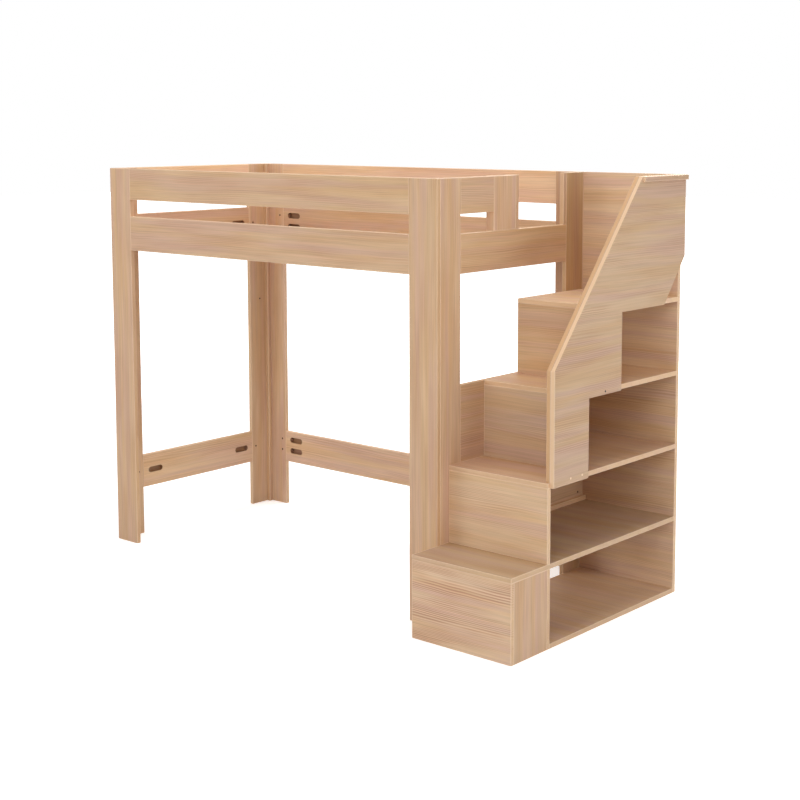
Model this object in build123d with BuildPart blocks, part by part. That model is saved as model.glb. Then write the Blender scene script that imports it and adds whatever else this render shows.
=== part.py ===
"""Loft bed with a stair cabinet at its right end, all of pine boards.

X runs along the bed towards the stair, Y from the front to the back, Z up, in millimetres.
The origin lies on the floor, in the middle of the whole object.
"""

from build123d import *
import os

os.makedirs("parts", exist_ok=True)

# Bed frame
bed_length = 2020.0
bed_width = 1017.0
bed_height = 1794.0
board = 21.0  # thickness of every bed board
leg_width = 146.0  # face width of each of a leg's two sides
batten = 21.0  # square batten in a leg's inner corner
guard_height = 145.0
guard_gap = 78.0  # open space under the guard
rail_height = 160.0
bottom_rail_top = 389.0
corner_round = 6.0  # outer corner of a leg
edge_ease = 2.0  # small bevel along the edges of the bed boards
end_ease = 1.5  # bevel round the sawn ends of legs and post

# Right end: guard, post, access opening and edge strips
right_guard_length = 215.0
post_width = 146.0
post_thickness = 42.0
strip_width = 22.0

# Mattress deck
slat_width = 75.0
slat_thickness = 18.0
slat_sets = 5
slats_per_set = 3
deck_end_space = 62.0  # between the last slat and the right legs
slat_end_gap = 1.0
ledger_height = 30.0
ledger_drop = 116.0  # from the top of a side rail down to the top of its ledger

# Stair cabinet
panel = 19.0  # thickness of every stair board
stair_clearance = 0.3  # between the cabinet and the end of the bed
stair_width = 485.0
step_count = 4
step_run = 226.0
landing_depth = 473.0
first_step_top = 335.0
entry_rise = 291.0  # from the top step up to the top of the end rail
left_panel_thickness = 12.0
cleat_height = 19.0
cleat_depth = 18.0
panel_ease = 1.5  # small bevel along the edges of the stair boards

# Handrail
rail_setback = 13.0  # behind the front of the second riser
handrail_front_height = 429.0  # above the second step
handrail_top_length = 334.0
heel_length = 156.0  # sloping cut under the rear end of the outer layer
heel_height = 194.0
handrail_corner = 6.0
cap_height = 21.0
cap_thickness = 12.0

# Bolted joints
slot_length = 88.0
slot_width = 28.0
slot_depth = 17.0
slot_inset = 32.0  # from the end of a rail to its slot
nut_inset = 27.0  # from the edge of a leg board to its barrel nut
bolt_diameter = 6.0
bolt_hole = 7.0
bolt_head_across = 10.0  # hexagon head, between its flats
bolt_head_length = 5.0
nut_diameter = 10.0
nut_length = 14.0
nut_fit = 0.1  # radial room of nut in hole and of bolt in nut
bolt_past_nut = 8.0
washer_seat = 5.0  # thickness of the half-moon washer on the bolt's axis
washer_height = 12.0
lower_bolt = 60.0  # above the lower edge of a rail with two bolts
upper_bolt = 117.0
dowel_diameter = 8.0
dowel_length = 60.0
dowel_fit = 0.1
dowel_inset = 36.0  # from the guard's edges
dowel_hole_spare = 1.0
drawn_sides = 8  # bolts, nuts, dowels and their holes repeat so often that each is drawn with few sides
nut_hole_sides = 16  # the nut's hole shows, so it is rounder
washer_sides = 20

# Places worked out from the sizes
stair_reach = stair_clearance + stair_width + panel + cap_thickness
stair_depth = (step_count - 1) * step_run + landing_depth + panel
x_left = -(bed_length + stair_reach) / 2
x_right = x_left + bed_length
y_back = stair_depth / 2
y_front = y_back - bed_width
y_step = -stair_depth / 2
guard_bottom = bed_height - guard_height
rail_top = guard_bottom - guard_gap
rail_bottom = rail_top - rail_height
bottom_rail_bottom = bottom_rail_top - rail_height
ledger_top = rail_top - ledger_drop
slat_top = ledger_top + slat_thickness
x_stair_left = x_right + stair_clearance
x_stair_right = x_stair_left + stair_width
x_handrail_out = x_stair_right + panel
y_rear_panel = y_back - panel
y_guard_end = y_front + leg_width + right_guard_length
y_post_end = y_guard_end + post_width
y_leg_strip = y_back - leg_width - strip_width
step_rise = (rail_top - entry_rise - first_step_top) / (step_count - 1)
level_tops = [first_step_top + step_rise * step for step in range(step_count)]
riser_fronts = [y_step + step_run * step for step in range(step_count)]

AXES = {"x": Vector(1, 0, 0), "y": Vector(0, 1, 0), "z": Vector(0, 0, 1)}
BOLT_JOINTS = []
DOWELS = []


def save(piece, label):
    """Name a finished piece and write it."""
    piece.part.label = label
    export_step(piece.part, f"parts/{label}.step")


def section_plane(low, high, grain):
    """Plane across the grain at the low end of a board, and the board's size in that plane."""
    order = "xyz".index(grain)
    across = "xyz"[(order + 1) % 3]
    through = "xyz"[(order + 2) % 3]
    middle = (Vector(*low) + Vector(*high)) / 2
    half_length = (Vector(*high) - Vector(*low)).dot(AXES[grain]) / 2
    plane = Plane(origin=middle - AXES[grain] * half_length, x_dir=AXES[across], z_dir=AXES[grain])
    size = Vector(*high) - Vector(*low)
    return plane, size.dot(AXES[across]), size.dot(AXES[through]), half_length * 2


def eased_section(plane, width, thickness, ease):
    """Sketch of a board's section, its four corners bevelled."""
    with BuildSketch(plane) as section:
        Rectangle(width, thickness)
        chamfer(vertices(), length=ease)
    return section.sketch


def timber(low, high, grain, ease):
    """Board between two opposite corners, with its four edges along the grain eased."""
    plane, width, thickness, length = section_plane(low, high, grain)
    with BuildPart() as piece:
        extrude(eased_section(plane, width, thickness, ease), amount=length)
    return piece


def round_stock(diameter):
    """Section of a bolt, nut or dowel, with its corners on the true circle."""
    return RegularPolygon(diameter / 2, drawn_sides)


def round_hole(diameter, sides=drawn_sides):
    """Section of a drilled hole, with its flats on the true circle."""
    return RegularPolygon(diameter / 2, sides, major_radius=False)


class BoltJoint:
    """Bolt from a slot in a rail's inner face to a barrel nut in the leg board beside it.

    The joint's place is where the board's middle crosses the butt line. towards_leg points
    from the rail into the leg board, and inward is the way the inner faces look.
    """

    def __init__(self, rail, leg, place, towards_leg, inward):
        self.rail = rail
        self.leg = leg
        self.place = Vector(*place)
        self.towards_leg = Vector(*towards_leg)
        self.inward = Vector(*inward)
        BOLT_JOINTS.append(self)

    def along(self, distance):
        """Point on the bolt's axis, counted from the butt line into the leg."""
        return self.place + self.towards_leg * distance

    def axis_plane(self, distance):
        """Plane across the bolt's axis, facing the leg."""
        return Plane(origin=self.along(distance), x_dir=self.inward, z_dir=self.towards_leg)

    def face_plane(self, distance, height):
        """Plane parallel to the inner faces, at a height above the middle of the board."""
        origin = self.along(distance) + self.inward * height
        return Plane(origin=origin, x_dir=self.towards_leg, z_dir=self.inward)


def cut_rail_joint(joint):
    """Slot in the inner face and bolt hole in the rail's end, in the open rail."""
    slot_middle = -(slot_inset + slot_length / 2)
    with BuildSketch(joint.face_plane(slot_middle, board / 2)) as slot:
        SlotOverall(slot_length, slot_width)
    extrude(slot.sketch, amount=-slot_depth, mode=Mode.SUBTRACT)
    with BuildSketch(joint.axis_plane(0)) as hole:
        round_hole(bolt_hole)
    extrude(hole.sketch, amount=-(slot_inset + washer_seat), mode=Mode.SUBTRACT)


def cut_leg_joint(joint):
    """Blind hole for the barrel nut and the bolt's hole in the leg board's edge."""
    with BuildSketch(joint.face_plane(nut_inset, board / 2)) as nut_hole:
        round_hole(nut_diameter + 2 * nut_fit, nut_hole_sides)
    extrude(nut_hole.sketch, amount=-(board / 2 + nut_length / 2), mode=Mode.SUBTRACT)
    with BuildSketch(joint.axis_plane(0)) as hole:
        round_hole(bolt_hole)
    extrude(hole.sketch, amount=nut_inset + bolt_past_nut, mode=Mode.SUBTRACT)


class Dowel:
    """Wooden dowel across the butt line between a guard and its neighbour."""

    def __init__(self, first, second, place, direction):
        self.pieces = (first, second)
        self.plane = Plane(origin=place, z_dir=direction)
        DOWELS.append(self)


def cut_dowel_hole(dowel):
    """Hole on both sides of the butt line, of which only the half in the open piece cuts."""
    with BuildSketch(dowel.plane) as hole:
        round_hole(dowel_diameter + 2 * dowel_fit)
    half_length = dowel_length / 2 + dowel_hole_spare
    extrude(hole.sketch, amount=half_length, both=True, mode=Mode.SUBTRACT)


def cut_joints(label):
    """Every slot and hole of the piece with this name, in the open piece."""
    for joint in BOLT_JOINTS:
        if joint.rail == label:
            cut_rail_joint(joint)
        if joint.leg == label:
            cut_leg_joint(joint)
    for dowel in DOWELS:
        if label in dowel.pieces:
            cut_dowel_hole(dowel)


def rail(label, low, high, grain):
    """Rail or guard between two legs, with the cuts of its joints."""
    plane, width, thickness, length = section_plane(low, high, grain)
    with BuildPart() as piece:
        extrude(eased_section(plane, width, thickness, edge_ease), amount=length)
        cut_joints(label)
    save(piece, label)


# Where every joint of the frame lies
end_sides = {"left": (x_left, 1), "right": (x_right, -1)}
face_sides = {"front": (y_front, 1), "back": (y_back, -1)}
upper_heights = (rail_bottom + lower_bolt, rail_bottom + upper_bolt)
bottom_heights = (bottom_rail_bottom + lower_bolt, bottom_rail_bottom + upper_bolt)
guard_dowel_heights = (guard_bottom + dowel_inset, bed_height - dowel_inset)

for end, (x_face, into_bed) in end_sides.items():
    butt_x = x_face + into_bed * leg_width
    for face, (y_face, into_room) in face_sides.items():
        middle_y = y_face + into_room * board / 2
        leg_face = f"{face}_{end}_leg_face"
        long_rails = [(f"{face}_side_rail", upper_heights)]
        if face == "back":
            long_rails.append(("back_bottom_rail", bottom_heights))
        for rail_name, heights in long_rails:
            for height in heights:
                place = (butt_x, middle_y, height)
                BoltJoint(rail_name, leg_face, place, (-into_bed, 0, 0), (0, into_room, 0))
        for height in guard_dowel_heights:
            Dowel(f"{face}_guard_rail", leg_face, (butt_x, middle_y, height), (1, 0, 0))

for end, (x_face, into_bed) in end_sides.items():
    middle_x = x_face + into_bed * board / 2
    for face, (y_face, into_room) in face_sides.items():
        butt_y = y_face + into_room * leg_width
        leg_side = f"{face}_{end}_leg_side"
        end_rails = [(f"{end}_end_rail", rail_bottom + rail_height / 2)]
        if end == "left":
            end_rails.append(("left_bottom_rail", bottom_rail_bottom + rail_height / 2))
        for rail_name, height in end_rails:
            place = (middle_x, butt_y, height)
            BoltJoint(rail_name, leg_side, place, (0, -into_room, 0), (into_bed, 0, 0))
        if end == "left" or face == "front":
            for height in guard_dowel_heights:
                Dowel(f"{end}_guard_rail", leg_side, (middle_x, butt_y, height), (0, 1, 0))

for height in guard_dowel_heights:
    Dowel("right_guard_rail", "guard_end_post", (x_right - board / 2, y_guard_end, height), (0, 1, 0))


def leg(end, face):
    """Face board, side board and corner batten of one leg."""
    x_face, into_bed = end_sides[end]
    y_face, into_room = face_sides[face]
    corner = Vector(x_face, y_face)
    name = f"{face}_{end}_leg"

    local_corner = Vector(-into_bed * leg_width, -into_room * board) / 2
    with BuildPart() as face_board:
        with BuildSketch(Plane(origin=corner - local_corner)):
            Rectangle(leg_width, board)
            outer, *others = vertices().sort_by_distance(local_corner)
            chamfer(others, length=edge_ease)
            fillet(outer, radius=corner_round)
        extrude(amount=bed_height)
        chamfer(edges().group_by(Axis.Z)[-1], length=end_ease)
        cut_joints(f"{name}_face")
    save(face_board, f"{name}_face")

    side_length = leg_width - board
    side_middle = corner + Vector(into_bed * board / 2, into_room * (board + side_length / 2))
    with BuildPart() as side_board:
        extrude(eased_section(Plane(origin=side_middle), board, side_length, edge_ease), amount=bed_height)
        chamfer(edges().group_by(Axis.Z)[-1], length=end_ease)
        cut_joints(f"{name}_side")
    save(side_board, f"{name}_side")

    batten_offset = board + batten / 2
    batten_middle = corner + Vector(into_bed * batten_offset, into_room * batten_offset)
    with BuildPart() as corner_batten:
        extrude(eased_section(Plane(origin=batten_middle), batten, batten, edge_ease), amount=bed_height)
        chamfer(edges().group_by(Axis.Z)[-1], length=end_ease)
    save(corner_batten, f"{name}_batten")


for end in end_sides:
    for face in face_sides:
        leg(end, face)

# Rails and guards
long_low_x = x_left + leg_width
long_high_x = x_right - leg_width
for face, (y_face, into_room) in face_sides.items():
    y_low = min(y_face, y_face + into_room * board)
    y_high = y_low + board
    rail(f"{face}_guard_rail", (long_low_x, y_low, guard_bottom), (long_high_x, y_high, bed_height), "x")
    rail(f"{face}_side_rail", (long_low_x, y_low, rail_bottom), (long_high_x, y_high, rail_top), "x")
rail(
    "back_bottom_rail",
    (long_low_x, y_back - board, bottom_rail_bottom),
    (long_high_x, y_back, bottom_rail_top),
    "x",
)

end_low_y = y_front + leg_width
end_high_y = y_back - leg_width
left_inner = x_left + board
right_inner = x_right - board
rail("left_guard_rail", (x_left, end_low_y, guard_bottom), (left_inner, end_high_y, bed_height), "y")
rail("left_end_rail", (x_left, end_low_y, rail_bottom), (left_inner, end_high_y, rail_top), "y")
rail(
    "left_bottom_rail",
    (x_left, end_low_y, bottom_rail_bottom),
    (left_inner, end_high_y, bottom_rail_top),
    "y",
)
rail("right_end_rail", (right_inner, end_low_y, rail_bottom), (x_right, end_high_y, rail_top), "y")
rail("right_guard_rail", (right_inner, end_low_y, guard_bottom), (x_right, y_guard_end, bed_height), "y")

# Panel between the legs beside the stair, from the second step's level to the third's
end_panel = timber(
    (right_inner, end_low_y, level_tops[1]),
    (x_right, end_high_y, level_tops[2]),
    "y",
    edge_ease,
)
save(end_panel, "right_end_panel")

# Post that ends the right guard, and the strips on both sides of the access opening
post_foot = Plane(origin=(x_right - post_thickness / 2, y_guard_end + post_width / 2, rail_top))
with BuildPart() as post:
    extrude(eased_section(post_foot, post_thickness, post_width, edge_ease), amount=bed_height - rail_top)
    chamfer(edges().group_by(Axis.Z)[-1], length=end_ease)
    cut_joints("guard_end_post")
save(post, "guard_end_post")

post_strip = timber(
    (x_right - post_thickness, y_post_end, rail_top),
    (x_right, y_post_end + strip_width, bed_height),
    "z",
    edge_ease,
)
save(post_strip, "guard_post_edge_strip")
leg_strip = timber(
    (right_inner, y_leg_strip, rail_top),
    (x_right, y_leg_strip + strip_width, bed_height),
    "z",
    edge_ease,
)
save(leg_strip, "leg_edge_strip")

# Ledgers and slats
ledger_from = x_left + board + batten
ledger_to = x_right - board - batten
slat_count = slat_sets * slats_per_set
slat_pitch = (ledger_to - ledger_from - slat_width - deck_end_space) / (slat_count - 1)
for face, (y_face, into_room) in face_sides.items():
    inner = y_face + into_room * board
    y_low = min(inner, inner + into_room * batten)
    ledger = timber(
        (ledger_from, y_low, ledger_top - ledger_height),
        (ledger_to, y_low + batten, ledger_top),
        "x",
        edge_ease,
    )
    save(ledger, f"{face}_ledger")

for slat_set in range(slat_sets):
    with BuildPart() as slats:
        for number in range(slats_per_set):
            x_slat = ledger_from + slat_pitch * (slat_set * slats_per_set + number)
            slat_low = (x_slat, y_front + board + slat_end_gap, ledger_top)
            slat_high = (x_slat + slat_width, y_back - board - slat_end_gap, slat_top)
            slat = timber(slat_low, slat_high, "y", edge_ease)
            add(slat.part)
    save(slats, f"slat_set_{slat_set + 1}")

# Boards of the stair: each is a step in front and a shelf behind, except the top one
STEP_NAMES = ("step_1_shelf", "step_2_shelf", "step_3_shelf", "top_step")
for name, top, front in zip(STEP_NAMES, level_tops, riser_fronts):
    step_board = timber(
        (x_stair_left, front, top - panel),
        (x_stair_right, y_rear_panel, top),
        "x",
        panel_ease,
    )
    save(step_board, name)

# Risers stand on the board below, the first one on the floor
riser_feet = [0.0] + level_tops[:-1]
for number, (foot, top, front) in enumerate(zip(riser_feet, level_tops, riser_fronts), start=1):
    riser = timber(
        (x_stair_left, front, foot),
        (x_stair_right, front + panel, top - panel),
        "x",
        panel_ease,
    )
    save(riser, f"riser_{number}")

# Bottom compartment: divider under the second riser, floor panel and sides of the first step
below_first = first_step_top - panel
y_divider = riser_fronts[1]
divider = timber(
    (x_stair_left, y_divider, 0),
    (x_stair_right, y_divider + panel, below_first),
    "x",
    panel_ease,
)
save(divider, "divider")
floor_panel = timber(
    (x_stair_left, y_divider + panel, 0),
    (x_stair_right, y_rear_panel, panel),
    "x",
    panel_ease,
)
save(floor_panel, "floor_panel")
step_sides = {"left": x_stair_left, "right": x_stair_right - panel}
for side, x_low in step_sides.items():
    step_side = timber(
        (x_low, y_step + panel, 0),
        (x_low + panel, y_divider, below_first),
        "z",
        panel_ease,
    )
    save(step_side, f"step_1_{side}_side")

rear_panel = timber(
    (x_stair_left, y_rear_panel, 0),
    (x_stair_right, y_back, bed_height),
    "z",
    panel_ease,
)
save(rear_panel, "stair_rear_panel")

# Second compartment: thin left panel and the cleat in front of it
left_panel = timber(
    (x_stair_left, y_divider + panel, level_tops[0]),
    (x_stair_left + left_panel_thickness, y_rear_panel, level_tops[1] - panel),
    "y",
    panel_ease,
)
save(left_panel, "stair_left_panel")
cleat = timber(
    (x_stair_left + left_panel_thickness, y_divider + panel, level_tops[0]),
    (x_stair_left + left_panel_thickness + cleat_depth, y_rear_panel, level_tops[0] + cleat_height),
    "y",
    panel_ease,
)
save(cleat, "stair_left_cleat")

# Handrail, two layers with one front and one slope
y_rail_front = riser_fronts[1] + rail_setback
y_top_start = y_back - handrail_top_length
y_heel = y_back - heel_length
riser_backs = [front + panel for front in riser_fronts]
handrail_upper = [
    (y_rail_front, level_tops[1] + handrail_front_height),
    (y_top_start, bed_height),
]
outer_outline = handrail_upper + [
    (y_back, bed_height),
    (y_back, level_tops[3] - panel + heel_height),
    (y_heel, level_tops[3] - panel),
    (riser_backs[3], level_tops[3] - panel),
    (riser_backs[3], level_tops[2] - panel),
    (riser_backs[2], level_tops[2] - panel),
    (riser_backs[2], level_tops[1] - panel),
    (y_rail_front, level_tops[1] - panel),
]
inner_outline = handrail_upper + [
    (y_rear_panel, bed_height),
    (y_rear_panel, level_tops[3]),
    (riser_fronts[3], level_tops[3]),
    (riser_fronts[3], level_tops[2]),
    (riser_fronts[2], level_tops[2]),
    (riser_fronts[2], level_tops[1]),
    (y_rail_front, level_tops[1]),
]


def handrail_layer(label, x_low, outline, open_face):
    """Stepped board of the handrail, its two upper corners rounded, its open face eased all round."""
    with BuildPart() as layer:
        with BuildSketch(Plane.YZ.offset(x_low)):
            with BuildLine():
                Polyline(*outline, close=True)
            make_face()
            for corner in handrail_upper:
                fillet(vertices().sort_by_distance(corner)[0], radius=handrail_corner)
        extrude(amount=panel)
        chamfer(faces().sort_by(Axis.X)[open_face].edges(), length=panel_ease)
    save(layer, label)


handrail_layer("handrail_outer", x_stair_right, outer_outline, -1)
handrail_layer("handrail_inner", x_stair_right - panel, inner_outline, 0)

cap = timber(
    (x_handrail_out, y_top_start, bed_height - cap_height),
    (x_handrail_out + cap_thickness, y_back, bed_height),
    "y",
    panel_ease,
)
save(cap, "handrail_cap")


def connector_bolt(joint):
    """Hexagon bolt from its washer through the butt line and the nut."""
    seat = -(slot_inset + washer_seat)
    with BuildSketch(joint.axis_plane(seat)) as shank:
        round_stock(bolt_diameter)
    extrude(shank.sketch, amount=nut_inset + bolt_past_nut - nut_fit - seat)
    with BuildSketch(joint.axis_plane(seat)) as head:
        RegularPolygon(bolt_head_across / 2, 6, major_radius=False)
    extrude(head.sketch, amount=-bolt_head_length)


def half_moon_washer(joint):
    """Washer that fills the round end of a slot and gives the bolt's head a flat seat."""
    radius = slot_width / 2 - nut_fit
    round_centre = joint.face_plane(-(slot_inset + slot_width / 2), -washer_height / 2)
    seat_side = slot_width / 2 - washer_seat
    with BuildSketch(round_centre) as moon:
        RegularPolygon(radius, washer_sides)
        with Locations((seat_side - radius, 0)):
            Rectangle(radius * 2, radius * 2, mode=Mode.SUBTRACT)
    extrude(moon.sketch, amount=washer_height)
    with BuildSketch(joint.axis_plane(-(slot_inset + slot_width))) as hole:
        round_hole(bolt_diameter + 2 * nut_fit)
    extrude(hole.sketch, amount=slot_width, mode=Mode.SUBTRACT)


def barrel_nut(joint):
    """Cross-drilled cylinder in the leg board."""
    with BuildSketch(joint.face_plane(nut_inset, -nut_length / 2)) as body:
        round_stock(nut_diameter)
    extrude(body.sketch, amount=nut_length)
    with BuildSketch(joint.axis_plane(nut_inset - nut_diameter)) as hole:
        round_hole(bolt_diameter + 2 * nut_fit)
    extrude(hole.sketch, amount=nut_diameter * 2, mode=Mode.SUBTRACT)


with BuildPart() as bolts:
    for joint in BOLT_JOINTS:
        connector_bolt(joint)
save(bolts, "connector_bolts")

with BuildPart() as washers:
    for joint in BOLT_JOINTS:
        half_moon_washer(joint)
save(washers, "half_moon_washers")

with BuildPart() as nuts:
    for joint in BOLT_JOINTS:
        barrel_nut(joint)
save(nuts, "barrel_nuts")

with BuildPart() as dowels:
    for dowel in DOWELS:
        with BuildSketch(dowel.plane):
            round_stock(dowel_diameter)
        extrude(amount=dowel_length / 2, both=True)
save(dowels, "guard_dowels")
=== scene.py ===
"""A loft bed with a stair of open shelves: its finishes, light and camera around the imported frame."""

from __future__ import annotations

import logging
import math
from dataclasses import dataclass, field
from enum import Enum

import bpy
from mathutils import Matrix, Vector


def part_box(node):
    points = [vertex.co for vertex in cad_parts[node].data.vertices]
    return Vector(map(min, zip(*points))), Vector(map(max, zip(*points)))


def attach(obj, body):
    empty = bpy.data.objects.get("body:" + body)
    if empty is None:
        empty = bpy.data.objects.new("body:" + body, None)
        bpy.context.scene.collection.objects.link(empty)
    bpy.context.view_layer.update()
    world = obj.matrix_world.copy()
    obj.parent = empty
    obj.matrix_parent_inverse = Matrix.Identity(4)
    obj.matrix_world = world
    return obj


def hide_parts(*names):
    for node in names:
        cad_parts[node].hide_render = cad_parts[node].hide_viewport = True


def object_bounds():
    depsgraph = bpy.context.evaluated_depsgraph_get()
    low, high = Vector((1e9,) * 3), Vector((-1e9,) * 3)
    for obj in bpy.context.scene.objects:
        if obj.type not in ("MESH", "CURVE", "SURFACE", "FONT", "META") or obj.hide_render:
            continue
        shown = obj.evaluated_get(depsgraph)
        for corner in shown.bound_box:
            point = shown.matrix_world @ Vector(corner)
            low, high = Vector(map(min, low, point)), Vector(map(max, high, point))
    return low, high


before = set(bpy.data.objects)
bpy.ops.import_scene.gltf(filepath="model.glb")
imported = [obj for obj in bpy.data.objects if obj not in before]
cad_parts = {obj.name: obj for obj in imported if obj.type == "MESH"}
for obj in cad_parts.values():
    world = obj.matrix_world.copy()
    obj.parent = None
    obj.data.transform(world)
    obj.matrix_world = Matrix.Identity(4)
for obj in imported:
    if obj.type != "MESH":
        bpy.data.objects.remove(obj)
CAD_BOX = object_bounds()

LOG = logging.getLogger("loft_bed")
BODY = "root"

Colour = tuple[float, float, float]
Socket = bpy.types.NodeSocket
PLAIN: Colour = (1.0, 1.0, 1.0)


def linear(red: int, green: int, blue: int) -> Colour:
    """Turn a colour as a screen shows it into the linear one that Blender works in.

    Args:
        red: Red, 0 to 255.
        green: Green, 0 to 255.
        blue: Blue, 0 to 255.

    Returns:
        The three linear channels, 0 to 1.
    """
    full, foot, power = 255, 0.055, 2.4
    steps = (red, green, blue)
    return tuple(((step / full + foot) / (1 + foot)) ** power for step in steps)


class Axis(Enum):
    """An axis of the shared frame."""

    X = 0
    Y = 1
    Z = 2


class Sheet:
    """A node tree that is laid out in code, with short calls for the nodes it uses most."""

    mix_inputs = (0, 6, 7)
    mix_output = 2

    def __init__(self, tree: bpy.types.NodeTree) -> None:
        """Keep the tree and empty it."""
        self.tree = tree
        tree.nodes.clear()

    def add(self, kind: str, values: dict | None = None, **settings) -> bpy.types.Node:
        """Add a node, set its properties, and set or link its inputs.

        Args:
            kind: The node's type name.
            values: Input names or numbers, with a value or the socket that feeds each.
            **settings: Properties of the node itself.

        Returns:
            The new node.
        """
        node = self.tree.nodes.new(kind)
        for name, setting in settings.items():
            setattr(node, name, setting)
        for key, value in (values or {}).items():
            self.feed(node.inputs[key], value)
        return node

    def feed(self, socket: Socket, value: object) -> None:
        """Link a socket to an input, or write a plain value there."""
        if isinstance(value, Socket):
            self.tree.links.new(value, socket)
        elif isinstance(value, tuple) and socket.type == "RGBA":
            socket.default_value = (*value, 1.0)
        else:
            socket.default_value = value

    def place(self, tree: bpy.types.NodeTree, values: dict) -> dict[str, Socket]:
        """Place a node group.

        Args:
            tree: The group.
            values: Its inputs, each with a value or the socket that feeds it.

        Returns:
            Its outputs by name.
        """
        node = self.add("ShaderNodeGroup", node_tree=tree)
        for name, value in values.items():
            self.feed(node.inputs[name], value)
        return {socket.name: socket for socket in node.outputs}

    def math(self, operation: str, *values, clamp: bool = False) -> Socket:
        """Add a Math node.

        Args:
            operation: Blender's name of the operation.
            *values: Its operands, numbers or sockets.
            clamp: Whether the result stays between 0 and 1.

        Returns:
            The result.
        """
        inputs = dict(enumerate(values))
        node = self.add("ShaderNodeMath", inputs, operation=operation, use_clamp=clamp)
        return node.outputs[0]

    def vector(self, operation: str, *values) -> Socket:
        """Add a Vector Math node and return its vector."""
        node = self.add("ShaderNodeVectorMath", dict(enumerate(values)), operation=operation)
        return node.outputs[0]

    def parts(self, vector: Socket) -> list[Socket]:
        """Split a vector into its three numbers."""
        return list(self.add("ShaderNodeSeparateXYZ", {0: vector}).outputs)

    def join(self, x, y, z) -> Socket:
        """Make a vector of three numbers."""
        return self.add("ShaderNodeCombineXYZ", {0: x, 1: y, 2: z}).outputs[0]

    def noise(self, vector: Socket, scale: float, detail: float, rough: float = 0.5) -> Socket:
        """Add a Noise Texture and return its value, 0 to 1."""
        values = {"Vector": vector, "Scale": scale, "Detail": detail, "Roughness": rough}
        return self.add("ShaderNodeTexNoise", values).outputs["Fac"]

    def ramp(self, value: Socket, low: float | Socket, high: float | Socket) -> Socket:
        """Ease a value from 0 at low to 1 at high.

        Args:
            value: The socket that is read.
            low: Where the result is 0.
            high: Where the result is 1.

        Returns:
            The eased value.
        """
        values = {"Value": value, "From Min": low, "From Max": high}
        node = self.add("ShaderNodeMapRange", values, interpolation_type="SMOOTHSTEP")
        return node.outputs["Result"]

    def mix(self, amount, first, second, blend: str = "MIX") -> Socket:
        """Mix two colours.

        Args:
            amount: How much of the second, 0 to 1.
            first: A colour or its socket.
            second: A colour or its socket.
            blend: Blender's name of the blend.

        Returns:
            The mixed colour.
        """
        node = self.add("ShaderNodeMix", data_type="RGBA", blend_type=blend)
        for key, value in zip(self.mix_inputs, (amount, first, second)):
            self.feed(node.inputs[key], value)
        return node.outputs[self.mix_output]

    def object_place(self) -> Socket:
        """Return the place of each point in its object's own coordinates."""
        return self.add("ShaderNodeTexCoord").outputs["Object"]

    def relief(self, height: Socket, depth: float, share: float = 1.0) -> Socket:
        """Turn a height into a bumped normal.

        Args:
            height: The height, 0 to 1.
            depth: The height's full depth in metres.
            share: How strongly it shows.

        Returns:
            The normal.
        """
        values = {"Height": height, "Distance": depth, "Strength": share}
        return self.add("ShaderNodeBump", values).outputs[0]

    def surface(self, values: dict) -> None:
        """End the material in one Principled shader.

        Args:
            values: The shader's inputs, each with a value or the socket that feeds it.
        """
        shader = self.add("ShaderNodeBsdfPrincipled", values)
        self.add("ShaderNodeOutputMaterial", {"Surface": shader.outputs[0]})


def new_material(name: str) -> tuple[bpy.types.Material, Sheet]:
    """Start a material.

    Args:
        name: The material's name.

    Returns:
        The material, and the sheet to lay its nodes on.
    """
    material = bpy.data.materials.new(name)
    material.use_nodes = True
    return material, Sheet(material.node_tree)


def new_group(name: str, takes: dict[str, str], gives: dict[str, str]) -> Sheet:
    """Start a shader node group.

    Args:
        name: The group's name.
        takes: The inputs, each with its kind of socket.
        gives: The outputs, each with its kind of socket.

    Returns:
        The sheet to lay the group's nodes on.
    """
    tree = bpy.data.node_groups.new(name, "ShaderNodeTree")
    sheet = Sheet(tree)
    for names, side in ((takes, "INPUT"), (gives, "OUTPUT")):
        for title, kind in names.items():
            tree.interface.new_socket(name=title, in_out=side, socket_type=f"NodeSocket{kind}")
    return sheet


@dataclass(frozen=True)
class Band:
    """A noise drawn out along the grain.

    Attributes:
        along: How often it changes in a metre along the grain.
        across: How often it changes in a metre across the grain.
        detail: The noise's detail.
        shift: How far it is moved, so that two bands differ.
    """

    along: float
    across: float
    detail: float = 2.0
    shift: float = 0.0

    def value(self, sheet: Sheet, along: Socket, across: Socket, deep: Socket) -> Socket:
        """Add the noise.

        Args:
            sheet: The sheet that it is laid on.
            along: The place along the grain.
            across: The place across it.
            deep: The place through the board.

        Returns:
            The noise's value, 0 to 1.
        """
        place = sheet.join(
            sheet.math("MULTIPLY_ADD", along, self.along, self.shift),
            sheet.math("MULTIPLY", across, self.across),
            sheet.math("MULTIPLY", deep, self.across),
        )
        return sheet.noise(place, 1.0, self.detail)


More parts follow.
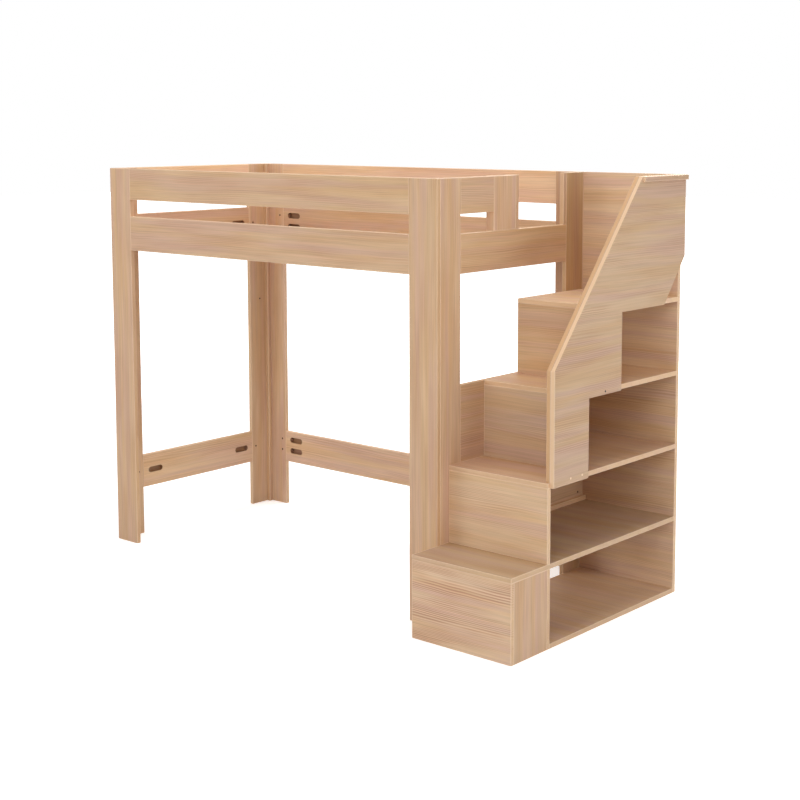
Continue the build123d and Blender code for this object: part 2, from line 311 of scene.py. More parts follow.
class WoodGrain:
    """The shared figure of a board, with its grain along the X of the vector it is given.

    It bends the grain with a slow drift and a quick ripple, tints it in soft bands, and draws dark
    ring lines that come and go, with fibres and pores over them.
    """

    takes = {
        "Vector": "Vector",
        "Early": "Color",
        "Late": "Color",
        "Blush": "Color",
        "Pale": "Color",
        "Figure": "Float",
        "Streak": "Float",
        "Gloss": "Float",
    }
    gives = {"Color": "Color", "Roughness": "Float", "Height": "Float"}
    drift = Band(1.1, 2.2, 1.0)
    drift_depth = 0.040
    ripple = Band(7.0, 11.0, 1.0, 5.7)
    ripple_depth = 0.006
    hue = Band(1.6, 15.0, 3.0)
    blush = Band(1.1, 19.0, 2.0, 7.3)
    fibre = Band(5.0, 380.0, 3.0)
    soft = Band(1.8, 170.0, 2.0, 2.2)
    pore = Band(24.0, 800.0, 1.0, 3.1)
    patch = Band(2.4, 17.0, 2.0, 9.4)
    crowd = Band(0.6, 13.0, 1.0, 4.4)
    crowd_depth = 0.055
    hue_span = (0.34, 0.66)
    blush_span = (0.42, 0.66)
    blush_share = 0.85
    pore_span = (0.66, 0.80)
    pore_shade = -0.08
    ring_rate = 135.0
    depth_rate = 45.0
    ring_rise = (0.10, 0.78)
    ring_fall = (1.0, 0.84)
    patch_span = (0.36, 0.66)
    fibre_rough = 0.22
    ring_rough = 0.06
    ring_height = -0.4
    fibre_height = 0.6
    pore_height = -0.5

    def __init__(self) -> None:
        """Lay out the group."""
        sheet = new_group("wood_grain", self.takes, self.gives)
        inside = sheet.add("NodeGroupInput").outputs
        along, across, deep = sheet.parts(inside["Vector"])
        bent = across
        for band, depth in ((self.drift, self.drift_depth), (self.ripple, self.ripple_depth)):
            swing = self.centred(sheet, band.value(sheet, along, across, deep))
            bent = sheet.math("MULTIPLY_ADD", swing, depth, bent)
        place = (along, bent, deep)
        rings = self.rings(sheet, place)
        fibre = self.centred(sheet, self.fibre.value(sheet, *place))
        soft = self.centred(sheet, self.soft.value(sheet, *place))
        pore = sheet.ramp(self.pore.value(sheet, *place), *self.pore_span)
        hue = sheet.ramp(self.hue.value(sheet, *place), *self.hue_span)
        blush = sheet.ramp(self.blush.value(sheet, *place), *self.blush_span)
        base = sheet.mix(hue, inside["Early"], inside["Pale"])
        base = sheet.mix(sheet.math("MULTIPLY", blush, self.blush_share), base, inside["Blush"])
        base = sheet.mix(sheet.math("MULTIPLY", rings, inside["Figure"]), base, inside["Late"])
        streak = sheet.math("MULTIPLY", sheet.math("ADD", fibre, soft), inside["Streak"])
        tone = sheet.math("MULTIPLY_ADD", pore, self.pore_shade, sheet.math("ADD", 1.0, streak))
        colour = sheet.vector("MULTIPLY", base, sheet.join(tone, tone, tone))
        rough = sheet.math("MULTIPLY_ADD", fibre, self.fibre_rough, inside["Gloss"])
        rough = sheet.math("MULTIPLY_ADD", rings, self.ring_rough, rough, clamp=True)
        height = sheet.math("MULTIPLY", fibre, self.fibre_height)
        height = sheet.math("MULTIPLY_ADD", rings, self.ring_height, height)
        height = sheet.math("MULTIPLY_ADD", pore, self.pore_height, height)
        sheet.add("NodeGroupOutput", {"Color": colour, "Roughness": rough, "Height": height})
        self.tree = sheet.tree

    @staticmethod
    def centred(sheet: Sheet, value: Socket) -> Socket:
        """Move a noise's middle from a half to 0."""
        return sheet.math("SUBTRACT", value, 0.5)

    def rings(self, sheet: Sheet, place: tuple[Socket, Socket, Socket]) -> Socket:
        """Add the dark late-wood lines, which come and go along the board.

        Args:
            sheet: The sheet of the group.
            place: The place along the grain, across it and through the board.

        Returns:
            The lines' mask, 0 to 1.
        """
        along, bent, deep = place
        crowd = self.crowd.value(sheet, along, bent, deep)
        spread = sheet.math("MULTIPLY_ADD", crowd, self.crowd_depth, bent)
        phase = sheet.math("MULTIPLY", spread, self.ring_rate)
        saw = sheet.math("FRACT", sheet.math("MULTIPLY_ADD", deep, self.depth_rate, phase))
        line = sheet.math("MULTIPLY", sheet.ramp(saw, *self.ring_rise), sheet.ramp(saw, *self.ring_fall))
        patch = sheet.ramp(self.patch.value(sheet, along, bent, deep), *self.patch_span)
        return sheet.math("MULTIPLY", line, patch)


class BoardEdges:
    """A board's masks for painted light: highlight on arrises, light on narrow faces, shade in slots and
    holes.

    It is given a point's place from the board's middle, with the board's half sizes along the grain,
    across it and through the board. What lies under the wide face's skin is a narrow face, or, where
    it is also inset from the outline, a slot or hole.
    """

    takes = {"Vector": "Vector", "Half": "Vector", "Width": "Float"}
    gives = {"Edge Highlight": "Float", "Narrow": "Float", "Recess Shade": "Float"}
    skin = (0.0008, 0.0026)
    inset = (0.0035, 0.0065)

    def __init__(self) -> None:
        """Lay out the group."""
        sheet = new_group("board_edges", self.takes, self.gives)
        inside = sheet.add("NodeGroupInput").outputs
        gap = sheet.vector("SUBTRACT", inside["Half"], sheet.vector("ABSOLUTE", inside["Vector"]))
        along, across, deep = sheet.parts(gap)
        low = sheet.math("MINIMUM", across, deep)
        high = sheet.math("MAXIMUM", across, deep)
        middle = sheet.math("MAXIMUM", low, sheet.math("MINIMUM", high, along))
        # Painted highlight: the mask of a thin band along every arris.
        edge = sheet.math("SUBTRACT", 1.0, sheet.ramp(middle, 0.0, inside["Width"]))
        below = sheet.ramp(deep, *self.skin)
        within = sheet.ramp(sheet.math("MINIMUM", along, across), *self.inset)
        # Painted shade: the mask of the slots and holes, inset from the outline under the skin.
        recess_shade = sheet.math("MULTIPLY", below, within)
        narrow = sheet.math("SUBTRACT", below, recess_shade)
        sheet.add("NodeGroupOutput", {"Edge Highlight": edge, "Narrow": narrow, "Recess Shade": recess_shade})
        self.tree = sheet.tree


@dataclass(frozen=True)
class WoodFinish:
    """A clear-lacquered pale wood.

    Attributes:
        early: The main colour, between the rings.
        late: The colour of the ring lines.
        blush: The pinkish grey of some bands.
        pale: The lightest bands.
        figure: How strongly the ring lines show.
        streak: How strongly the fibres show.
        gloss: The middle roughness of the lacquer.
        edge: The colour of the painted highlight along the eased arrises.
        highlight_width: How far from an arris the painted highlight reaches, in metres.
        highlight_share: How far the colour of an arris turns to that of the painted highlight.
        narrow_face_light: The colour of the narrow faces, painted light as where light catches them.
        narrow_face_light_share: How far the narrow faces turn to that painted light.
        recess_shade: What the colour is multiplied by in a slot or hole: painted shade.
        pockets: Whether what lies deep inside the board's outline is a slot or hole in painted shade; if
            not, it is a narrow face too.
        bump: The depth of the grain's relief in metres.
        bump_share: How strongly that relief shows.
        refraction: The lacquer's index of refraction.
    """

    early: Colour = linear(204, 167, 127)
    late: Colour = linear(176, 126, 96)
    blush: Colour = linear(203, 167, 144)
    pale: Colour = linear(210, 178, 144)
    figure: float = 0.48
    streak: float = 0.34
    gloss: float = 0.50
    # Painted highlight along the arrises:
    edge: Colour = linear(236, 208, 176)
    highlight_width: float = 0.0040
    highlight_share: float = 0.70
    # Narrow faces painted lighter, as where light catches them:
    narrow_face_light: Colour = linear(214, 176, 134)
    narrow_face_light_share: float = 0.40
    # Painted shade in slots and holes:
    recess_shade: Colour = (0.46, 0.37, 0.31)
    pockets: bool = True
    bump: float = 0.0003
    bump_share: float = 0.5
    refraction: float = 1.45

    def look(self, sheet: Sheet, board: "Board", grain: WoodGrain, edges: BoardEdges) -> None:
        """Lay out the material's nodes for one board.

        Args:
            sheet: The sheet of the board's material.
            board: The board.
            grain: The shared figure.
            edges: The shared masks for painted light and shade.
        """
        centred = sheet.vector("SUBTRACT", sheet.object_place(), tuple(board.centre))
        turned = sheet.join(*(sheet.parts(centred)[axis.value] for axis in board.order))
        moved = sheet.vector("ADD", turned, board.cut)
        wood = sheet.place(
            grain.tree,
            {
                "Vector": moved,
                "Early": self.early,
                "Late": self.late,
                "Blush": self.blush,
                "Pale": self.pale,
                "Figure": self.figure,
                "Streak": self.streak,
                "Gloss": self.gloss,
            },
        )
        half = tuple(board.half[axis.value] for axis in board.order)
        # Masks for the painted highlight on arrises, painted light on narrow faces and painted shade in
        # slots.
        light_masks = sheet.place(edges.tree, {"Vector": turned, "Half": half, "Width": self.highlight_width})
        narrow = light_masks["Narrow"] if self.pockets else sheet.math("ADD", light_masks["Narrow"], light_masks["Recess Shade"])
        # Painted light on the narrow faces.
        narrow_lit = sheet.math("MULTIPLY", narrow, self.narrow_face_light_share)
        # Each board's factor: part its own tone, part painted light and shade for how it stands in the
        # light.
        colour = sheet.mix(1.0, wood["Color"], board.tone_and_light, "MULTIPLY")
        colour = sheet.mix(narrow_lit, colour, self.narrow_face_light)
        # Painted highlight along every arris.
        colour = sheet.mix(sheet.math("MULTIPLY", light_masks["Edge Highlight"], self.highlight_share), colour, self.edge)
        # Painted shade inside slots and holes.
        if self.pockets:
            colour = sheet.mix(light_masks["Recess Shade"], colour, self.recess_shade, "MULTIPLY")
        sheet.surface(
            {
                "Base Color": colour,
                "Roughness": wood["Roughness"],
                "Normal": sheet.relief(wood["Height"], self.bump, self.bump_share),
                "IOR": self.refraction,
            }
        )

    def material(self, board: "Board", grain: WoodGrain, edges: BoardEdges) -> bpy.types.Material:
        """Make one board's own material, with the grain placed on that board.

        Args:
            board: The board.
            grain: The shared figure.
            edges: The shared masks for painted light and shade.

        Returns:
            The material.
        """
        material, sheet = new_material(f"wood_{board.node}")
        self.look(sheet, board, grain, edges)
        return material


def put_on(piece: bpy.types.Object, material: bpy.types.Material) -> None:
    """Make a material the only one of a piece."""
    piece.data.materials.clear()
    piece.data.materials.append(material)


@dataclass
class Board:
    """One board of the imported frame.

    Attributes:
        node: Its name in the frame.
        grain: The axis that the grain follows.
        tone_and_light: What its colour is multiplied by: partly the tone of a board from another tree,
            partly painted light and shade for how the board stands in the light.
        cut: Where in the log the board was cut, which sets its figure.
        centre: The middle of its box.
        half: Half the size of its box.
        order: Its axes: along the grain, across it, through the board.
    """

    node: str
    grain: Axis
    tone_and_light: Colour = PLAIN
    cut: tuple[float, float, float] = (0.0, 0.0, 0.0)
    centre: Vector = field(init=False)
    half: Vector = field(init=False)
    order: list[Axis] = field(init=False)

    def __post_init__(self) -> None:
        """Read the board's box and sort its axes by its size."""
        low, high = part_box(self.node)
        self.centre = (low + high) / 2
        self.half = (high - low) / 2
        others = [axis for axis in Axis if axis is not self.grain]
        others.sort(key=lambda axis: -self.half[axis.value])
        self.order = [self.grain, *others]


@dataclass
class Wardrobe:
    """What every finish is made with.

    Attributes:
        grain: The shared figure.
        edges: The shared masks for painted light and shade.
        cuts: How many boards are cut so far.
        log_step: How far apart in the log two boards are cut.
    """

    grain: WoodGrain = field(default_factory=WoodGrain)
    edges: BoardEdges = field(default_factory=BoardEdges)
    cuts: int = 0
    log_step: tuple[float, float, float] = (3.71, 1.37, 0.53)

    def dress(
        self,
        finish: WoodFinish,
        node: str,
        grain: Axis,
        tone_and_light: Colour = PLAIN,
        piece: bpy.types.Object | None = None,
    ) -> None:
        """Dress one board, cut from the next place in the log.

        Args:
            finish: The wood's finish.
            node: The board's name in the frame.
            grain: The axis of its grain.
            tone_and_light: What its colour is multiplied by: partly the tone of a board from another
                tree, partly painted light and shade.
            piece: The piece that stands for the board, where the board itself isn't shown.
        """
        self.cuts += 1
        board = Board(node, grain, tone_and_light, tuple(step * self.cuts for step in self.log_step))
        put_on(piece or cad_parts[node], finish.material(board, self.grain, self.edges))
        LOG.info("dressed %s", node)


@dataclass
class BedFrame:
    """The legs, rails, guards and edge strips of the bed.

    Attributes:
        finish: The wood of all its boards.
        corners: The corners where a leg stands.
        leg_parts: The parts of a leg.
        grains: The boards other than the legs, by the axis of their grain.
        tones_and_light: The boards that are lighter or darker than the rest, partly in tone and partly
            by painted light and shade.
    """

    finish: WoodFinish = field(default_factory=WoodFinish)
    corners: tuple[str, ...] = ("front_left", "front_right", "back_left", "back_right")
    leg_parts: tuple[str, ...] = ("face", "side", "batten")
    grains: dict[Axis, tuple[str, ...]] = field(
        default_factory=lambda: {
            Axis.X: (
                "front_guard_rail",
                "front_side_rail",
                "back_guard_rail",
                "back_side_rail",
                "back_bottom_rail",
                "front_ledger",
                "back_ledger",
            ),
            Axis.Y: (
                "left_guard_rail",
                "left_end_rail",
                "left_bottom_rail",
                "right_guard_rail",
                "right_end_rail",
            ),
            Axis.Z: ("guard_end_post", "guard_post_edge_strip", "leg_edge_strip"),
        }
    )
    # Painted light and shade with some tone: shaded boards such as the back right leg's side are darker,
    # and boards that catch more light, such as the guards' inner faces, are paler.
    tones_and_light: dict[str, Colour] = field(
        default_factory=lambda: {
            "front_left_leg_face": (0.955, 0.93, 0.89),
            "front_right_leg_face": (0.98, 0.965, 0.92),
            "front_right_leg_side": (1.06, 1.08, 1.10),
            "front_guard_rail": (0.955, 0.94, 0.87),
            "front_side_rail": (0.945, 0.92, 0.89),
            "right_guard_rail": (1.05, 1.07, 1.12),
            "right_end_rail": (1.04, 1.03, 0.96),
            "guard_end_post": (1.13, 1.16, 1.20),
            "back_guard_rail": (1.26, 1.28, 1.30),
            "left_guard_rail": (1.29, 1.31, 1.32),
            "left_bottom_rail": (1.15, 1.17, 1.16),
            "back_bottom_rail": (1.15, 1.17, 1.20),
            "back_left_leg_face": (1.10, 1.12, 1.16),
            "back_right_leg_side": (0.81, 0.76, 0.65),
            "back_right_leg_face": (0.90, 0.85, 0.76),
        }
    )

    def dress(self, wardrobe: Wardrobe) -> None:
        """Give every board of the bed its wood."""
        for corner in self.corners:
            for part in self.leg_parts:
                node = f"{corner}_leg_{part}"
                wardrobe.dress(self.finish, node, Axis.Z, self.tones_and_light.get(node, PLAIN))
        for axis, nodes in self.grains.items():
            for node in nodes:
                wardrobe.dress(self.finish, node, axis, self.tones_and_light.get(node, PLAIN))


@dataclass
class SlatDeck:
    """The slats that carry the mattress.

    Attributes:
        sets: How many nodes hold them.
        tone_and_light: What the colour of their wood is multiplied by: painted light, paler as their lit
            tops look.
        finish: Their wood, rougher than the rest.
    """

    sets: int = 5
    # Painted light: the slats are made paler as their lit tops look, and their slots get a lighter
    # painted shade.
    tone_and_light: Colour = (1.26, 1.28, 1.30)
    finish: WoodFinish = field(default_factory=lambda: WoodFinish(gloss=0.62, recess_shade=(0.62, 0.50, 0.40)))

    def dress(self, wardrobe: Wardrobe) -> None:
        """Give the slats their wood."""
        for number in range(1, self.sets + 1):
            wardrobe.dress(self.finish, f"slat_set_{number}", Axis.Y, self.tone_and_light)


@dataclass
class StairBlock:
    """The stair: its steps, its shelves and the panels that carry them.

    Attributes:
        finish: The wood of most of its boards.
        grains: Its boards, by the axis of their grain.
        lively: A wood with stronger ring lines.
        lively_boards: The boards of that wood.
        tones_and_light: The boards that are lighter or darker than the rest, partly in tone and partly
            by painted light and shade.
    """

    # Its arrises get a stronger painted highlight, and its narrow faces, such as the treads' front
    # edges, are painted lighter.
    finish: WoodFinish = field(
        default_factory=lambda: WoodFinish(
            late=linear(172, 118, 90),
            figure=0.42,
            highlight_width=0.0034,
            highlight_share=0.8,
            narrow_face_light=linear(226, 190, 150),
            narrow_face_light_share=0.5,
        )
    )
    grains: dict[Axis, tuple[str, ...]] = field(
        default_factory=lambda: {
            Axis.X: (
                "step_1_shelf",
                "step_2_shelf",
                "step_3_shelf",
                "top_step",
                "riser_1",
                "riser_2",
                "riser_3",
                "riser_4",
                "divider",
                "floor_panel",
                "stair_rear_panel",
            ),
            Axis.Y: ("stair_left_panel", "stair_left_cleat"),
            Axis.Z: ("step_1_left_side", "step_1_right_side"),
        }
    )
    lively: WoodFinish = field(
        default_factory=lambda: WoodFinish(late=linear(168, 110, 84), figure=0.78, highlight_share=0.8)
    )
    lively_boards: tuple[str, ...] = ("riser_1", "stair_left_panel")
    # Painted light and shade with some tone: the lowest shelf, which lies in shade, is darker, and the
    # top step and rear panel, which catch more light, are paler.
    tones_and_light: dict[str, Colour] = field(
        default_factory=lambda: {
            "stair_rear_panel": (1.16, 1.22, 1.26),
            "step_1_shelf": (0.77, 0.77, 0.76),
            "step_2_shelf": (0.95, 0.91, 0.89),
            "step_3_shelf": (1.07, 1.05, 0.97),
            "top_step": (1.34, 1.42, 1.47),
            "riser_1": (1.12, 1.17, 1.24),
            "riser_2": (1.09, 1.12, 1.12),
            "riser_3": (0.97, 1.0, 1.04),
            "riser_4": (0.99, 0.96, 0.87),
            "stair_left_cleat": (1.20, 1.20, 1.16),
        }
    )

    def dress(self, wardrobe: Wardrobe) -> None:
        """Give every board of the stair its wood."""
        for axis, nodes in self.grains.items():
            for node in nodes:
                finish = self.lively if node in self.lively_boards else self.finish
                wardrobe.dress(finish, node, axis, self.tones_and_light.get(node, PLAIN))


class Hand:
    """The few modelling moves that the new pieces share, each made with an operator."""

    weld = 1e-5

    @staticmethod
    def let_go() -> None:
        """Deselect every object."""
        bpy.ops.object.select_all(action="DESELECT")

    @staticmethod
    def take(piece: bpy.types.Object) -> None:
        """Select one object alone and make it the active one."""
        Hand.let_go()
        piece.select_set(True)
        bpy.context.view_layer.objects.active = piece

    @staticmethod
    def copy_of(node: str, name: str) -> bpy.types.Object:
        """Copy a CAD node as a new piece, with its loose triangles joined.

        Args:
            node: The node's name.
            name: The new piece's name.

        Returns:
            The new piece.
        """
        piece = bpy.data.objects.new(name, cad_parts[node].data.copy())
        bpy.context.scene.collection.objects.link(piece)
        Hand.take(piece)
        bpy.ops.object.mode_set(mode="EDIT")
        bpy.ops.mesh.select_all(action="SELECT")
        bpy.ops.mesh.remove_doubles(threshold=Hand.weld)
        bpy.ops.object.mode_set(mode="OBJECT")
        return piece

    @staticmethod
    def saw(piece: bpy.types.Object, point: Vector, normal: Vector) -> None:
        """Cut off what lies beyond a plane and close the cut.

        Args:
            piece: The piece.
            point: A point of the plane.
            normal: The plane's normal, towards the waste.
        """
        Hand.take(piece)
        bpy.ops.object.mode_set(mode="EDIT")
        bpy.ops.mesh.select_all(action="SELECT")
        bpy.ops.mesh.bisect(plane_co=point, plane_no=normal, use_fill=True, clear_outer=True)
        bpy.ops.object.mode_set(mode="OBJECT")

    @staticmethod
    def lower(piece: bpy.types.Object, level: float, reach: float) -> None:
        """Move down all of a piece that lies under a level.

        Args:
            piece: The piece.
            level: The height under which its corners move.
            reach: How far they move.
        """
        Hand.take(piece)
        bpy.ops.object.mode_set(mode="EDIT")
        bpy.ops.mesh.select_mode(type="VERT")
        bpy.ops.mesh.select_all(action="DESELECT")
        bpy.ops.object.mode_set(mode="OBJECT")
        for corner in piece.data.vertices:
            corner.select = corner.co.z < level
        bpy.ops.object.mode_set(mode="EDIT")
        bpy.ops.transform.translate(value=(0.0, 0.0, -reach))
        bpy.ops.object.mode_set(mode="OBJECT")

    @staticmethod
    def ease(piece: bpy.types.Object, width: float, angle: float, segments: int = 2) -> None:
        """Round the piece's sharp edges with a bevel, and apply it.

        Args:
            piece: The piece.
            width: The bevel's width in metres.
            angle: The least angle in degrees of an edge that is rounded.
            segments: How many strips the bevel has.
        """
        Hand.take(piece)
        bevel = piece.modifiers.new("ease", "BEVEL")
        bevel.width = width
        bevel.segments = segments
        bevel.limit_method = "ANGLE"
        bevel.angle_limit = math.radians(angle)
        bpy.ops.object.modifier_apply(modifier=bevel.name)


@dataclass
class EndPanel:
    """The panel of the bed's right end, beside the stair.

    Attributes:
        finish: Its wood.
        lap: How far it reaches down past the tread's top, beside the tread's edge.
        margin: How far over its lower end its corners still belong to that end.
    """

    finish: WoodFinish = field(default_factory=WoodFinish)
    lap: float = 0.019
    margin: float = 0.005

    def dress(self, wardrobe: Wardrobe) -> None:
        """Lengthen the panel so that no light shows between it and the tread, and give it its wood."""
        low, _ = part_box("right_end_panel")
        piece = Hand.copy_of("right_end_panel", "right_end_panel_long")
        Hand.lower(piece, low.z + self.margin, self.lap)
        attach(piece, BODY)
        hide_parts("right_end_panel")
        wardrobe.dress(self.finish, "right_end_panel", Axis.Y, PLAIN, piece)


@dataclass
class Handrail:
    """The two-layer handrail with its cap.

    Attributes:
        heel_length: Length of the slanting cut under its rear end, in metres.
        heel_height: Height of that cut.
        tone_and_light: What the colour of its layers is multiplied by.
        outer: The wood of the outer layer and the cap.
        inner: The wood of the inner layer.
    """

    heel_length: float = 0.156
    heel_height: float = 0.194
    tone_and_light: Colour = (0.88, 0.89, 0.89)
    # The narrow faces of both layers get strong painted light: the outer one's slope is painted pale, as
    # where light from above falls on it.
    outer: WoodFinish = field(
        default_factory=lambda: WoodFinish(
            figure=0.46,
            highlight_share=0.7,
            narrow_face_light=linear(229, 193, 155),
            narrow_face_light_share=0.85,
            pockets=False,
        )
    )
    inner: WoodFinish = field(
        default_factory=lambda: WoodFinish(
            figure=0.6,
            highlight_share=0.3,
            narrow_face_light=linear(206, 161, 114),
            narrow_face_light_share=0.85,
            pockets=False,
        )
    )

    def build_inner_layer(self) -> bpy.types.Object:
        """Cut the inner layer's heel along the outer layer's slant, so that the rear panel shows there.

        Returns:
            The new inner layer.
        """
        piece = Hand.copy_of("handrail_inner", "handrail_inner_layer")
        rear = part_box("handrail_outer")[1].y
        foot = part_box("top_step")[0].z
        heel = Vector((0.0, rear - self.heel_length, foot))
        Hand.saw(piece, heel, Vector((0.0, self.heel_height, -self.heel_length)).normalized())
        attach(piece, BODY)
        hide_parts("handrail_inner")
        return piece

    def dress(self, wardrobe: Wardrobe) -> None:
        """Build the inner layer and give the handrail its wood."""
        inner = self.build_inner_layer()
        wardrobe.dress(self.outer, "handrail_outer", Axis.Y, self.tone_and_light)
        wardrobe.dress(self.inner, "handrail_inner", Axis.Y, self.tone_and_light, inner)
        wardrobe.dress(self.outer, "handrail_cap", Axis.Y, self.tone_and_light)


@dataclass(frozen=True)
class CapFinish:
    """Moulded plastic of a screw cap.

    Attributes:
        name: The material's name.
        colour: Its main colour.
        speckle: The colour of its faint mottling.
        mottle: How often that changes in a metre.
        span: Where in the noise it turns from one colour to the other.
        gloss: The least roughness.
        haze: How much rougher the mottling is.
        grit: The depth of its relief in metres.
    """

    name: str
    colour: Colour
    speckle: Colour
    mottle: float = 900.0
    span: tuple[float, float] = (0.4, 0.7)
    gloss: float = 0.4
    haze: float = 0.2
    grit: float = 0.0001

    def material(self) -> bpy.types.Material:
        """Make the plastic.

        Returns:
            The material.
        """
        material, sheet = new_material(self.name)
        cloud = sheet.noise(sheet.object_place(), self.mottle, 2.0)
        sheet.surface(
            {
                "Base Color": sheet.mix(sheet.ramp(cloud, *self.span), self.colour, self.speckle),
                "Roughness": sheet.math("MULTIPLY_ADD", cloud, self.haze, self.gloss),
                "Normal": sheet.relief(cloud, self.grit),
            }
        )
        return material


@dataclass
class ScrewCaps:
    """The small caps over screws, on faces that look to the right.

    Attributes:
        name: The piece's name.
        spots: Where the caps are, as Y and Z, by the board that carries them.
        finish: Their plastic.
        slot: A slot name for the caps; it is not used.
        radius: Radius of a cap.
        proud: How far a cap stands out.
        rim: The bevel of its rim, as a share of that.
        sharp: The least angle in degrees of an edge that gets the bevel.
        sides: How many sides a cap has.
    """

    name: str
    spots: dict[str, tuple[tuple[float, float], ...]]
    finish: CapFinish
    slot: str
    radius: float = 0.0045
    proud: float = 0.0006
    rim: float = 0.8
    sharp: float = 40.0
    sides: int = 24

    def dress(self, _: Wardrobe) -> None:
        """Set a shallow cap over each screw and give the caps their plastic."""
        caps = [self.build_cap(node, spot) for node, spots in self.spots.items() for spot in spots]
        Hand.let_go()
        for cap in caps:
            cap.select_set(True)
        bpy.context.view_layer.objects.active = caps[0]
        if len(caps) > 1:
            bpy.ops.object.join()
        piece = bpy.context.object
        piece.name = self.name
        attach(piece, BODY)
        put_on(piece, self.finish.material())
        LOG.info("built %s", self.name)

    def build_cap(self, node: str, spot: tuple[float, float]) -> bpy.types.Object:
        """Make one cap, half sunk in the face that carries it.

        Args:
            node: The board that carries it.
            spot: Its Y and Z.

        Returns:
            The cap.
        """
        Hand.let_go()
        bpy.ops.mesh.primitive_cylinder_add(
            vertices=self.sides,
            radius=self.radius,
            depth=2 * self.proud,
            location=(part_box(node)[1].x, *spot),
            rotation=(0.0, math.radians(90), 0.0),
        )
        cap = bpy.context.object
        bpy.ops.object.transform_apply(location=True, rotation=True, scale=True)
        Hand.ease(cap, self.proud * self.rim, self.sharp)
        return cap


DARK_CAPS = ScrewCaps(
    "dark_screw_caps",
    {
        "handrail_outer": ((-0.0029, 0.9585),),
        "back_left_leg_side": ((0.5065, 1.0893),),
        "stair_left_panel": ((0.5293, 0.3726),),
    },
    CapFinish("dark_plastic", linear(44, 31, 24), linear(30, 22, 18)),
    "steel",
)
PALE_CAPS = ScrewCaps(
    "pale_screw_caps",
    {"handrail_outer": ((-0.235, 0.652), (-0.158, 0.652), (0.4404, 1.2690))},
    CapFinish("pale_plastic", linear(238, 212, 180), linear(226, 198, 166)),
    "stair_wood",
)


@dataclass(frozen=True)
class SteelFinish:
    """Steel with a dark chemical finish.

    Attributes:
        colour: Its colour where it is rubbed.
        dark: Its colour elsewhere.
        metal: How far it shines as bare metal does.
        stain: How often the two colours change in a metre.
        span: Where in the noise one colour turns to the other.
        gloss: The least roughness.
        haze: How much rougher the stains are.
        scratch: How often the brushed relief changes in a metre.
        depth: The depth of that relief in metres.
        depth_share: How strongly it shows.
    """

    colour: Colour
    dark: Colour
    metal: float = 1.0
    stain: float = 240.0
    span: tuple[float, float] = (0.35, 0.6)
    gloss: float = 0.45
    haze: float = 0.25
    scratch: float = 1900.0
    depth: float = 0.00005
    depth_share: float = 0.4

    def dress(self, node: str) -> None:
        """Give a CAD node the steel."""
        material, sheet = new_material(f"steel_{node}")
        place = sheet.object_place()
        cloud = sheet.noise(place, self.stain, 3.0)
        brushed = sheet.noise(place, self.scratch, 2.0)
        sheet.surface(
            {
                "Base Color": sheet.mix(sheet.ramp(cloud, *self.span), self.colour, self.dark),
                "Roughness": sheet.math("MULTIPLY_ADD", cloud, self.haze, self.gloss),
                "Metallic": self.metal,
                "Normal": sheet.relief(brushed, self.depth, self.depth_share),
            }
        )
        put_on(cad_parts[node], material)
        LOG.info("dressed %s", node)


@dataclass
class JointHardware:
    """The bolts, washers, barrel nuts and dowels of the joints.

    Attributes:
        black: The barrel nuts' finish.
        bronze: The finish of what shows in the slots.
        dowel: The dowels' wood.
    """

    black: SteelFinish = SteelFinish(linear(22, 19, 17), linear(14, 12, 11))
    bronze: SteelFinish = SteelFinish(linear(158, 120, 96), linear(132, 98, 78), 0.3)
    dowel: WoodFinish = field(default_factory=WoodFinish)

    def dress(self, wardrobe: Wardrobe) -> None:
        """Give the steel parts their finish and the dowels their wood."""
        self.black.dress("barrel_nuts")
        for node in ("connector_bolts", "half_moon_washers"):
            self.bronze.dress(node)
        wardrobe.dress(self.dowel, "guard_dowels", Axis.Z)


@dataclass(frozen=True)
class Lamp:
    """A square soft lamp, turned to the middle of the bed.

    Attributes:
        name: Its name.
        place: Where it hangs.
        side: The length of its side in metres.
        power: Its power in watts.
    """

    name: str
    place: tuple[float, float, float]
    side: float
    power: float

    def hang(self, aim: Vector, colour: Colour) -> None:
        """Hang the lamp.

        Args:
            aim: The point it is turned to.
            colour: The colour of its light.
        """
        data = bpy.data.lights.new(self.name, "AREA")
        data.shape = "SQUARE"
        data.size = self.side
        data.energy = self.power
        data.color = colour
        lamp = bpy.data.objects.new(self.name, data)
        lamp.location = self.place
        lamp.rotation_euler = (aim - lamp.location).to_track_quat("-Z", "Y").to_euler()
        bpy.context.scene.collection.objects.link(lamp)


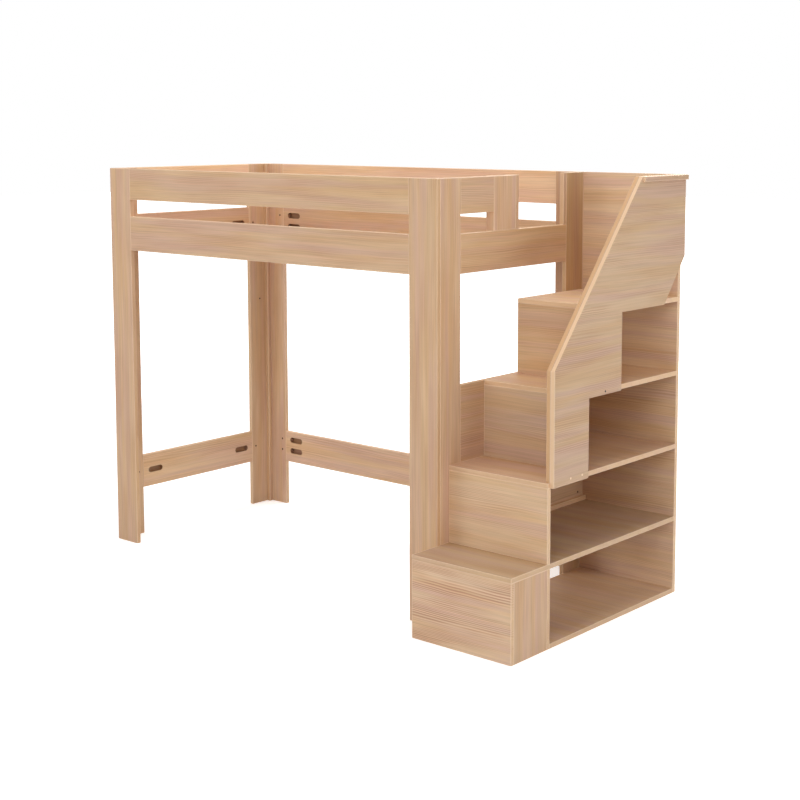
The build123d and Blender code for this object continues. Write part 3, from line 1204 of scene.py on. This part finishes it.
@dataclass
class Studio:
    """The pale floor, the soft lamps and the camera.

    Attributes:
        floor_side: The floor's side in metres.
        floor_drop: How far it lies under the feet, so that the two don't share a plane.
        floor_colour: Its paint.
        floor_lift: How much the camera sees it brighter than its paint, near the bed.
        shadow_reach: How far from the middle the floor still shows a shadow.
        world_level: The strength of the even light from all round.
        place: The camera's place.
        turn: How far it is turned to the left of the Y axis, in degrees.
        dip: How far it looks down, in degrees.
        lens: Its focal length in millimetres.
        film: The width of its film in millimetres.
        shift: How far its picture is moved, as shares of the width.
        lamps: The lamps.
        white: The colour of all light.
    """

    floor_side: float = 60.0
    floor_drop: float = 0.0005
    floor_colour: Colour = (0.86, 0.86, 0.86)
    floor_lift: float = 0.5
    shadow_reach: float = 3.0
    world_level: float = 0.08
    place: tuple[float, float, float] = (4.4841, -4.8893, 2.0169)
    turn: float = 39.969
    dip: float = 6.37
    lens: float = 67.514
    film: float = 36.0
    shift: tuple[float, float] = (-0.0454, -0.14)
    lamps: tuple[Lamp, ...] = (
        Lamp("top", (0.0, 0.0, 6.0), 6.0, 200.0),
        Lamp("over_camera", (5.0, -5.0, 5.0), 4.0, 170.0),
        Lamp("right", (7.0, 0.0, 3.0), 4.0, 135.0),
        Lamp("left_front", (-5.0, -5.0, 4.0), 4.0, 170.0),
        Lamp("low_front", (1.0, -7.0, 1.5), 3.0, 55.0),
        Lamp("behind", (0.0, 6.0, 5.0), 4.0, 350.0),
    )
    white: Colour = (1.0, 1.0, 1.0)

    def build_camera(self) -> None:
        """Place the camera where the photograph was taken from, dipped so that its shift stays small."""
        data = bpy.data.cameras.new("view")
        data.lens = self.lens
        data.sensor_width = self.film
        data.shift_x, data.shift_y = self.shift
        camera = bpy.data.objects.new("view", data)
        camera.location = self.place
        camera.rotation_euler = (math.radians(90 - self.dip), 0.0, math.radians(self.turn))
        bpy.context.scene.collection.objects.link(camera)
        bpy.context.scene.camera = camera

    def build_floor(self) -> None:
        """Lay a pale floor that keeps the bed's shadow near it and is plain white farther out."""
        bpy.ops.mesh.primitive_plane_add(size=self.floor_side, location=(0, 0, -self.floor_drop))
        floor = bpy.context.object
        floor.name = "floor"
        material, sheet = new_material("pale_floor")
        place = sheet.object_place()
        away = sheet.add("ShaderNodeVectorMath", {0: place}, operation="LENGTH").outputs["Value"]
        far = sheet.ramp(away, self.shadow_reach, 2 * self.shadow_reach)
        seen = self.seen(sheet)
        lift = sheet.math("MULTIPLY", seen, sheet.math("ADD", far, self.floor_lift))
        paint = sheet.add("ShaderNodeBsdfDiffuse", {"Color": self.floor_colour})
        glow = sheet.add("ShaderNodeEmission", {"Strength": lift})
        both = sheet.add("ShaderNodeAddShader", {0: paint.outputs[0], 1: glow.outputs[0]})
        sheet.add("ShaderNodeOutputMaterial", {"Surface": both.outputs[0]})
        put_on(floor, material)

    @staticmethod
    def seen(sheet: Sheet) -> Socket:
        """Say whether a ray comes from the camera, or by way of a mirror or glass."""
        path = sheet.add("ShaderNodeLightPath").outputs
        either = sheet.math("MAXIMUM", path["Is Camera Ray"], path["Is Glossy Ray"])
        return sheet.math("MAXIMUM", either, path["Is Transmission Ray"])

    def build_world(self) -> None:
        """Surround the scene with an even pale light that looks white to the camera."""
        world = bpy.data.worlds.new("studio")
        world.use_nodes = True
        bpy.context.scene.world = world
        sheet = Sheet(world.node_tree)
        strength = sheet.math("MAXIMUM", self.seen(sheet), self.world_level)
        glow = sheet.add("ShaderNodeBackground", {"Color": self.white, "Strength": strength})
        sheet.add("ShaderNodeOutputWorld", {"Surface": glow.outputs[0]})

    def build(self) -> None:
        """Build the floor, the world, the lamps and the camera."""
        self.build_camera()
        self.build_floor()
        self.build_world()
        low, high = CAD_BOX
        for lamp in self.lamps:
            lamp.hang((low + high) / 2, self.white)
        bpy.context.scene.view_settings.view_transform = "Standard"


def main() -> None:
    """Build the studio and dress each sub-assembly in order."""
    logging.basicConfig(level=logging.INFO, format="%(name)s: %(message)s")
    Studio().build()
    wardrobe = Wardrobe()
    bed = (BedFrame(), EndPanel(), SlatDeck())
    stair = (StairBlock(), Handrail())
    small = (JointHardware(), DARK_CAPS, PALE_CAPS)
    for assembly in (*bed, *stair, *small):
        assembly.dress(wardrobe)
        LOG.info("finished %s", type(assembly).__name__)


if __name__ == "__main__":
    main()
